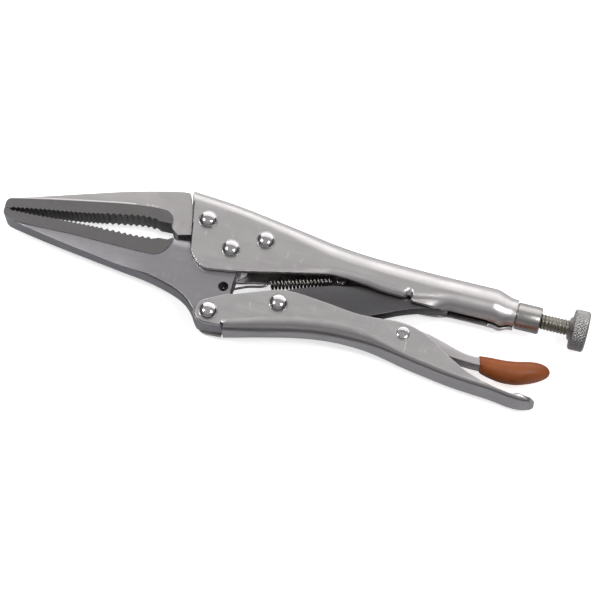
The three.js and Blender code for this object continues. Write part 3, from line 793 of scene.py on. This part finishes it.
def fixed_jaw():
    outline = path(
        FIXED_BACK,
        [[-86.8, 0.3], [-87.8, -0.3], [-88.4, -1.1], [-88.6, -2.0], [-88.6, -3.2], [-88.5, -4.2],
         [-86.6, -4.18]],
        teeth([[-86, -3.9], [-74.4, -1.8], [-61, 0.3], [-52, 2], [-44.7, 3.4], [-36, 4.9],
               [-29.5, 4.8]], 1),
        [[-25, 5], [-24.0, 3.2], [-21.4, 1.2], [-17, 2.4]],
        arc((0, 0), HUB + 0.5, 146, 10, 24),
        [[17.5, 1.6], [17.5, 10.6], [-19.2, 14.6], [-20.6, 16.4], [-20.9, 18.5], [-21.6, 19]])
    around = path(FIXED_LEAF_EDGE, arc((-29, 5.2), 4.7, 84, 0, 10),
                  [[-24.3, -12], [40, -12], [40, 40], [-95, 40]])
    outer = np.column_stack([FIXED_BACK[::-1, 0], FIXED_BACK[::-1, 1] + 2])
    body = plate("fixed_jaw_forging", outline, HALF_JAW)
    for side in (1, -1):
        body = carved(body, around_leaf(around, side, 0.75))
        inner = FIXED_LEAF_EDGE + (0, 0.75)
        body = carved(body, strip_slope(inner, outer, side, FIXED_SLOPE, (-36, -26)))
    return ease_edges(sharpen(thinned_to_nose(body), 18), 0.28, 2, 36)


def leaf_faces(obj, tooth_line, toward):
    """Gives the toothed leaf and its tooth flanks a darker copy of the plating, as painted shade; toward is
    -1 where the teeth point down, 1 up.
    """
    obj.data.materials.append(SHADED_LEAF_PLATE)
    for face in obj.data.polygons:
        x, y, z = from_row(face.center)
        proud = abs(face.normal.z) > 0.95 and abs(z) > (HALF_JAW - 0.1) * thickness_share(x)
        toothed = abs(face.normal.z) < 0.5 and (y - height_at(tooth_line, x)) * toward > -1.2
        if x < LEAF_ROOT_X + 0.4 and (proud or toothed):
            face.material_index = 1


FIXED_TEETH = np.array([[-90, -4.6], [-74.4, -1.8], [-61, 0.3], [-44.7, 3.4], [-29.5, 5.2], [-22, 5.2]])
leaf_faces(finish_piece(fixed_jaw(), "upper_handle_body", JAW, "jaw_steel", "fixed_jaw"), FIXED_TEETH, -1)


LOWER_LEAF_EDGE = spline([[-95, -9.2], [-84.5, -8.8], [-74.3, -8.7], [-61, -8.4], [-48, -8.6], [-36, -8.8],
                          [-28.5, -8.7]], 40)
LOWER_BACK = spline([[-6.3, -29.4], [-9.6, -25.1], [-13.5, -22], [-19.5, -19.5], [-30, -17], [-43.4, -15.2],
                     [-66.8, -11.8], [-83.4, -8.9]], 60)


def lower_jaw():
    outline = path(
        [[-88.5, -4.3], [-86.6, -4.3]],
        teeth([[-86, -4.5], [-78, -4.3], [-66, -3.7], [-56, -3.3], [-46, -3], [-37, -2.8],
               [-28, -1.9]], -1),
        [[-24.6, -1.7], [-22.4, -0.2], [-16.4, 0.3]],
        arc((0, 0), HUB, 176, -61, 40),
        spline([[4.1, -9.5], [3.9, -13.5], [4.2, -20], [4.5, -28]], 12),
        [[4.3, -29.3], [3.6, -29.9], [-4.2, -30.6], [-5.4, -30.3]],
        LOWER_BACK,
        [[-86.2, -8.2], [-87.5, -7.4], [-88.2, -6.5], [-88.5, -5.6]])
    x, y = outline.T
    rounding = smoothstep(-y, 8.0, 9.5) * (x < -8) * lerp(0.5, 1.9, smoothstep(x, -55, -25))
    around = path(LOWER_LEAF_EDGE, spline([[-28.0, -8.6], [-25.6, -7.4], [-23.8, -5], [-22.7, -2]], 10),
                  [[-22.5, 12], [40, 12], [40, -50], [-95, -50]])
    outer = np.column_stack([LOWER_BACK[::-1, 0], LOWER_BACK[::-1, 1] - 2])
    body = plate("lower_jaw_forging", outline, HALF_JAW, rounding, 4)
    for side in (1, -1):
        body = carved(body, around_leaf(around, side, 0.3))
        body = carved(body, strip_slope(LOWER_LEAF_EDGE - (0, 0.3), outer, side, LOWER_SLOPE, (-44, -24)))
        body = carved(body, shoulder_cutter(side))
    hole = turned("spring_hole", [(1.95, -20), (1.95, 20)], JAW_HOLE, "Z", 32)
    slot_plan = np.array([[JAW_HOLE[0], -15.6], [9, -15.6], [9, -12.6], [JAW_HOLE[0], -12.6]])
    slot = loft("slot", [at_height(slot_plan, z) for z in (-1.2, 1.2)])
    body = carved(carved(body, hole), slot)
    return ease_edges(sharpen(thinned_to_nose(body), 18), 0.28, 2, 36)


def shoulder_cutter(side):
    """Chamfers the shoulder behind the teeth, where it passes under the fixed jaw."""
    section = [(HALF_JAW + 0.3, -5.2), (HALF_JAW - 2, 0.6), (HALF_JAW - 2, 6), (HALF_JAW + 8, 6),
               (HALF_JAW + 8, -5.2)]
    rings = [[(x, y, side * z) for z, y in section] for x in (-22.6, -9)]
    return loft("shoulder_cutter", rings)


LOWER_TEETH = np.array([[-90, -4.6], [-66, -3.7], [-46, -3], [-28, -1.9], [-22, -1.9]])
leaf_faces(finish_piece(lower_jaw(), "lower_jaw_body", SHADED_JAW_PLATE, "jaw_steel", "lower_jaw"), LOWER_TEETH, 1)


# ---- Rivets and pins -------------------------------------------------------------------
def domed_profile(radius, shank, seat, height, dimple):
    """One head, from the shank up over the dome: (radius, z) pairs."""
    rim = 0.45
    run = [(shank, seat), (radius - 0.12, seat), (radius, seat + 0.12), (radius, seat + rim - 0.1)]
    for k in range(15):
        angle = math.pi / 2 * k / 14
        run.append((radius * math.cos(angle) * 0.985, seat + rim + (height - rim) * math.sin(angle)))
    if dimple:
        flat = [(r, z) for r, z in run if r > 0.45 * radius]
        z = flat[-1][1]
        return flat + [(0.40 * radius, z + 0.05), (0.34 * radius, z - 0.12), (0.30 * radius, z - 0.55),
                       (0.0, z - 0.6)]
    run[-1] = (0.0, run[-1][1])
    return run


def rivet(node_name, body, sides=56, dimple=False):
    low, high = node_box(node_name)
    middle, radius = (low + high) / 2, (high[0] - low[0]) / 2 * 1.005
    seat = HALF_WIDTH + 0.02
    shank = 1.5 if dimple else 2.2
    height = high[2] - seat
    upper = domed_profile(radius, shank, seat, height, dimple)
    lower = [(r, -z) for r, z in reversed(upper)]
    made = turned(node_name + "_head", lower + upper, middle, "Z", sides)
    sharpen(made, 50)
    return finish_piece(made, body, POLISHED, "bright_steel", node_name)


for name in ("fixed_jaw_front_rivet", "fixed_jaw_rear_rivet", "jaw_pivot_rivet"):
    rivet(name, "upper_handle_body")
for name in ("handle_hinge_rivet", "link_rivet"):
    rivet(name, "lower_handle_body")
rivet("lever_pin", "lower_handle_body", 40, dimple=True)


# ---- Toggle link and release lever -----------------------------------------------------
def toggle_link():
    tip = (82.8, SCREW_Y - 0.2)
    outline = path(
        arc(LINK, 6.0, 115, 290, 36),
        spline([[36, -18], [50, -14.3], [60, -10.3], [68, -6.5], [75.5, -3.9], [82, -2.6]], 30),
        [[84.6, -1.4]],
        arc(tip, 2.8, 0, 100, 14),
        spline([[76, 5.3], [62, 2.4], [48, -1.5], [40, -3.3], [34, -5.4], [28, -7.6]], 24))
    return sharpen(plate("toggle_link_bar", outline, HALF_LINK, 0.35, 4))


finish_piece(toggle_link(), "toggle_link_body", SHADED_LINK_STEEL, "dark_steel", "toggle_link")


def release_lever():
    outline = path(
        spline([[58.5, -15.2], [64, -13.7], [70.7, -13.2], [78.3, -13.1], [86.5, -15.1], [91.3, -16.6],
                [96, -17.5], [101, -17.6]], 40),
        spline([[110, -17.3], [116, -17.2]], 4),
        arc((116, -18.4), 1.2, 80, -80, 8),
        spline([[111, -19.6], [101, -20.6], [92, -20.3], [84, -19.6], [77, -20.2], [70.7, -20.4],
                [64, -18.8], [58.5, -16.8]], 40))
    return sharpen(plate("release_lever_bar", outline, HALF_LEVER, 0.4, 4))


finish_piece(release_lever(), "release_lever_body", SATIN, "satin_nickel", "release_lever")


GRIP_FRONT_X, GRIP_WIDEST_X = 100.6, 115.0
GRIP_MIDDLE = spline([[99, -19], [105, -19.4], [110, -19.6], [115, -19], [120, -17.6], [125, -16.4],
                      [129, -16]], 60)
GRIP_DEPTH = spline([[99, 2.5], [104, 3.4], [109, 3.95], [115, 4.25], [121, 4.3], [129, 4.3]], 60)
GRIP_WIDTH = spline([[99, 4.0], [104, 4.5], [109, 4.8], [115, 4.9], [121, 4.9], [129, 4.9]], 60)


def lever_grip():
    """A dipped coat: slanted soft lip at the front, full leaf-shaped middle, pointed round end."""
    end = node_box("release_lever_grip")[1][0] + 0.4
    length = end - GRIP_FRONT_X
    rings = []
    for t in [0, 0.004, 0.012, 0.025, 0.045, *np.linspace(0.08, 0.8, 24), 0.84, 0.88, 0.91, 0.935, 0.955,
              0.97, 0.982, 0.991, 0.997, 1.0]:
        x = GRIP_FRONT_X + length * t
        taper = np.clip((x - GRIP_WIDEST_X) / (end - GRIP_WIDEST_X), 0, 1)
        full = math.sqrt(max(0.0004, 1 - taper**2.4)) * (1 - 0.14 * max(0.0, 1 - t / 0.025) ** 2)
        middle, depth, width = (height_at(line, x) for line in (GRIP_MIDDLE, GRIP_DEPTH, GRIP_WIDTH))
        slant = 0.3 * (1 - float(smoothstep(t, 0, 0.2)))
        ring = []
        for k in range(48):
            angle = 2 * math.pi * k / 48
            c, s = math.cos(angle), math.sin(angle)
            rise = depth * full * math.copysign(abs(s) ** 0.85, s)
            ring.append((x - slant * rise, middle + rise, width * full * math.copysign(abs(c) ** 0.85, c)))
        rings.append(ring)
    return loft("release_lever_coat", rings)


finish_piece(lever_grip(), "release_lever_body", ORANGE, "orange_vinyl", "release_lever_grip")


# ---- Tension spring --------------------------------------------------------------------
def swept_wire(name, points, radius, sides=10):
    """A round wire along a path, its ring turned as little as possible from point to point."""
    points = np.asarray(points, float)
    tangents = np.gradient(points, axis=0)
    tangents /= np.linalg.norm(tangents, axis=1, keepdims=True)
    normal = np.cross(tangents[0], (0.3, 0.2, 1.0))
    rings = []
    for p, t in zip(points, tangents):
        normal = normal - t * np.dot(normal, t)
        normal /= np.linalg.norm(normal)
        other = np.cross(t, normal)
        rings.append([p + radius * (math.cos(a) * normal + math.sin(a) * other)
                      for a in np.linspace(0, 2 * math.pi, sides, endpoint=False)])
    return loft(name, rings)


SPRING_TURNS, COIL_RADIUS, WIRE_RADIUS = 17, 2.1, 0.45
SPRING_FRONT, SPRING_REAR = np.array([17.2, -7.5, 0]), np.array([39.4, -0.5, 0])
SPRING_AXIS = (SPRING_REAR - SPRING_FRONT) / np.linalg.norm(SPRING_REAR - SPRING_FRONT)


def tension_spring():
    per_turn = 20
    count = SPRING_TURNS * per_turn
    side = np.array([-SPRING_AXIS[1], SPRING_AXIS[0], 0])
    helix = []
    for k in range(count + 1):
        angle = 2 * math.pi * k / per_turn
        centre = lerp(SPRING_FRONT, SPRING_REAR, k / count)
        helix.append(centre + COIL_RADIUS * (math.cos(angle) * side + math.sin(angle) * np.array([0, 0, 1])))
    front = spline([[*JAW_HOLE, 3.4], [*JAW_HOLE, 1.2], [1.8, -14.3, 0.1], [9, -10.9, 0], [15.4, -8.9, 0],
                    helix[0]], 40)[:-1]
    rear = spline([helix[-1], [41, 0.6, 2], [*TAB_HOLE, 1], [*TAB_HOLE, -2]], 24)[1:]
    return swept_wire("tension_spring_wire", np.concatenate([front, helix, rear]), WIRE_RADIUS)


wire = finish_piece(tension_spring(), "upper_handle_body", SPRING, "dark_steel", "tension_spring")
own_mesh(wire)


# ---- Nut, screw and knob ---------------------------------------------------------------
def adjuster_nut():
    end = node_box("adjuster_nut")[1][0]
    start = TUBE_END_X + 0.3
    profile = [(3.2, 97), (4.3, 97), (4.3, start), (4.75, start), (4.95, start + 0.1), (5.06, start + 0.35),
               (5.1, start + 0.6), (5.1, end - 0.7), (5.04, end - 0.4), (4.9, end - 0.15), (4.65, end),
               (3.75, end), (3.45, end - 0.15), (3.3, end - 0.5), (3.2, 112)]
    return turned("adjuster_nut_collar", [*profile, profile[0]], (0, SCREW_Y, 0), "X", 72)


def stake_dimple(x, angle):
    """A small punched mark in the collar, made as a ball-shaped cutter."""
    reach, ball, steps = 5.35, 0.75, 8
    rings = []
    centre = np.array([x, SCREW_Y + reach * math.sin(angle), reach * math.cos(angle)])
    for k in range(steps + 1):
        polar = math.pi * k / steps
        r = max(0.01, ball * math.sin(polar))
        rings.append([centre + (ball * math.cos(polar), r * math.cos(a), r * math.sin(a))
                      for a in np.linspace(0, 2 * math.pi, 16, endpoint=False)])
    return loft("stake_dimple", rings)


def closed_ring(obj):
    """Joins a ring's first and last loops and drops the two caps between them."""
    body = bmesh.new()
    body.from_mesh(obj.data)
    bmesh.ops.delete(body, geom=[f for f in body.faces if len(f.verts) > 8], context="FACES_ONLY")
    bmesh.ops.remove_doubles(body, verts=body.verts, dist=1e-7)
    bmesh.ops.recalc_face_normals(body, faces=body.faces)
    body.to_mesh(obj.data)
    body.free()
    return obj


nut = carved(closed_ring(adjuster_nut()), stake_dimple(115.6, math.radians(52)))
finish_piece(sharpen(nut, 40), "upper_handle_body", COLLAR, "bright_steel", "adjuster_nut")


def threaded_rod():
    """The screw with a real helical thread; it turns with the knob."""
    low, high = node_box("adjusting_screw")
    radius, depth, pitch, sides = (high[1] - low[1]) / 2, 0.42, 1.25, 40
    rings = []
    for x in np.arange(low[0] + 0.2, high[0] + 0.21, pitch / 8):
        run_out = min(1.0, (x - low[0]) / 2.2)
        chamfer = 1.4 * max(0.0, 1 - run_out) ** 1.5
        ring = []
        for k in range(sides):
            phase = (x / pitch - k / sides) % 1
            wave = min(1.0, 1.15 * abs(2 * phase - 1))
            r = radius - depth * wave * run_out - chamfer
            angle = 2 * math.pi * k / sides
            ring.append((x, SCREW_Y + r * math.cos(angle), r * math.sin(angle)))
        rings.append(ring)
    return loft("adjusting_screw_thread", rings)


rod = finish_piece(threaded_rod(), "knob_body", SCREW, "screw_steel", "adjusting_screw")
sharpen(rod, 60)


def knurled_knob():
    """Conical shoulder, diamond-knurled rim and a flat end with a turned centre."""
    low, high = node_box("adjusting_knob")
    start, end, radius = low[0], high[0], (high[2] - low[2]) / 2
    sides, ridges, slant = 288, 36, 0.66
    profile = [(0.05, start + 0.3), (3.0, start + 0.1), (3.8, start), (4.3, start + 0.5), (4.7, start + 0.95),
               (radius - 0.9, start + 1.1), (radius - 0.5, start + 1.25)]
    profile += [(radius, x) for x in np.linspace(start + 1.75, end - 0.65, 21)]
    profile += [(radius - 0.35, end - 0.25), (radius - 0.9, end), (2.4, end), (2.2, end - 0.12),
                (0.8, end - 0.2), (0.05, end - 0.25)]
    rings = []
    for r0, x in profile:
        rim = float(smoothstep(x, start + 1.4, start + 1.9) * (1 - smoothstep(x, end - 0.9, end - 0.45)))
        rim *= 1.0 if r0 > radius - 0.6 else 0.0
        ring = []
        for k in range(sides):
            turn = k / sides
            one = abs(((turn * ridges + x * slant) % 1) * 2 - 1)
            two = abs(((turn * ridges - x * slant) % 1) * 2 - 1)
            r = r0 - 0.34 * rim * max(one, two) ** 3
            angle = 2 * math.pi * turn
            ring.append((x, SCREW_Y + r * math.cos(angle), r * math.sin(angle)))
        rings.append(ring)
    return sharpen(loft("adjusting_knob_head", rings), 40)


finish_piece(knurled_knob(), "knob_body", KNOB, "jaw_steel", "adjusting_knob")


# ---- Floor, light and camera -----------------------------------------------------------
def pale_floor():
    """White to the camera; polished parts see it grey, with painted shade that is darker in front of the tool
    than behind it.
    """
    half = 3.0
    mesh = bpy.data.meshes.new("floor")
    corners = [(-half, -half, 0), (half, -half, 0), (half, half, 0), (-half, half, 0)]
    mesh.from_pydata(corners, [], [(0, 1, 2, 3)])
    floor = bpy.data.objects.new("floor", mesh)
    bpy.context.scene.collection.objects.link(floor)
    material, tree, shader, vector = start_material("pale_floor")
    paper = noise(tree, vector, 900, 3)
    tree.links.new(mixed(tree, spread(tree, paper, 0.0, 1.0), (0.90, 0.90, 0.90), (0.93, 0.93, 0.93)),
                   shader.inputs["Base Color"])
    shader.inputs["Roughness"].default_value = 0.8
    shader.inputs["Specular IOR Level"].default_value = 0.1
    shader.inputs["Emission Color"].default_value = (1, 1, 1, 1)
    shader.inputs["Emission Strength"].default_value = 0.6
    # Painted shade in reflections: the floor that polished parts see is dark in front of the tool and lighter
    # behind it.
    parts = tree.nodes.new("ShaderNodeSeparateXYZ")
    tree.links.new(vector, parts.inputs["Vector"])
    depth = spread(tree, parts.outputs["Y"], 0.0, 1.0, -0.085, 0.085)
    reflected_shade = ramp(tree, depth, [(0.12, (0.05, 0.05, 0.055)), (0.27, (0.50, 0.505, 0.53)),
                               (0.62, (0.50, 0.505, 0.53)), (0.85, (0.86, 0.86, 0.87))])
    grey = tree.nodes.new("ShaderNodeBsdfDiffuse")
    tree.links.new(reflected_shade, grey.inputs["Color"])
    both = tree.nodes.new("ShaderNodeMixShader")
    tree.links.new(tree.nodes.new("ShaderNodeLightPath").outputs["Is Glossy Ray"], both.inputs["Fac"])
    tree.links.new(shader.outputs["BSDF"], both.inputs[1])
    tree.links.new(grey.outputs["BSDF"], both.inputs[2])
    tree.links.new(both.outputs["Shader"], tree.nodes["Material Output"].inputs["Surface"])
    floor.data.materials.append(material)


def softbox(name, place, aim, size, power, shape="RECTANGLE"):
    light = bpy.data.lights.new(name, "AREA")
    light.shape = shape
    light.size = size[0]
    light.size_y = size[1]
    light.energy = power
    lamp = bpy.data.objects.new(name, light)
    lamp.location = place
    lamp.rotation_euler = (Vector(aim) - Vector(place)).to_track_quat("-Z", "Y").to_euler()
    bpy.context.scene.collection.objects.link(lamp)


def sky():
    """Dim grey studio: darker round the horizon, a little lighter overhead."""
    world = bpy.data.worlds.new("studio")
    bpy.context.scene.world = world
    world.use_nodes = True
    tree = world.node_tree
    direction = tree.nodes.new("ShaderNodeTexCoord").outputs["Generated"]
    parts = tree.nodes.new("ShaderNodeSeparateXYZ")
    tree.links.new(direction, parts.inputs["Vector"])
    tones = ramp(tree, parts.outputs["Z"], [(0.05, (0.03, 0.03, 0.032)), (0.3, (0.06, 0.06, 0.063)),
                                            (0.55, (0.18, 0.18, 0.187)), (0.75, (0.31, 0.308, 0.318)),
                                            (0.92, (0.42, 0.415, 0.425))])
    tree.links.new(tones, tree.nodes["Background"].inputs["Color"])


def studio_camera():
    """Looks down at 69 degrees, from a little to the right of the front."""
    azimuth, elevation, distance = math.radians(14.6), math.radians(69.0), 0.750
    target = Vector((0.005459, -0.005391, 0.0096))
    back = Vector((math.sin(azimuth) * math.cos(elevation), -math.cos(azimuth) * math.cos(elevation),
                   math.sin(elevation)))
    camera = bpy.data.objects.new("camera", bpy.data.cameras.new("camera"))
    camera.data.sensor_width = 36
    camera.data.lens = 119.34
    camera.data.clip_start = 0.01
    camera.location = target + back * distance
    camera.rotation_euler = (-back).to_track_quat("-Z", "Y").to_euler()
    bpy.context.scene.collection.objects.link(camera)
    bpy.context.scene.camera = camera


pale_floor()
sky()
softbox("backdrop_low", (0.0, 1.05, 0.42), (0, 0, 0.05), (2.4, 0.7), 8.5)
softbox("backdrop_high", (0.0, 0.82, 0.94), (0, 0, 0.05), (2.4, 0.4), 3.1)
softbox("front_fill", (0.0, -0.95, 0.30), (0, 0, 0), (1.8, 0.3), 0.55)
softbox("lamp_left", (-0.50, -0.06, 0.68), (0, 0, 0), (0.19, 0.19), 1.7, shape="DISK")
softbox("lamp_right", (0.37, -0.08, 0.77), (0, 0, 0), (0.19, 0.19), 1.7, shape="DISK")
bpy.context.scene.view_settings.view_transform = "Standard"
studio_camera()
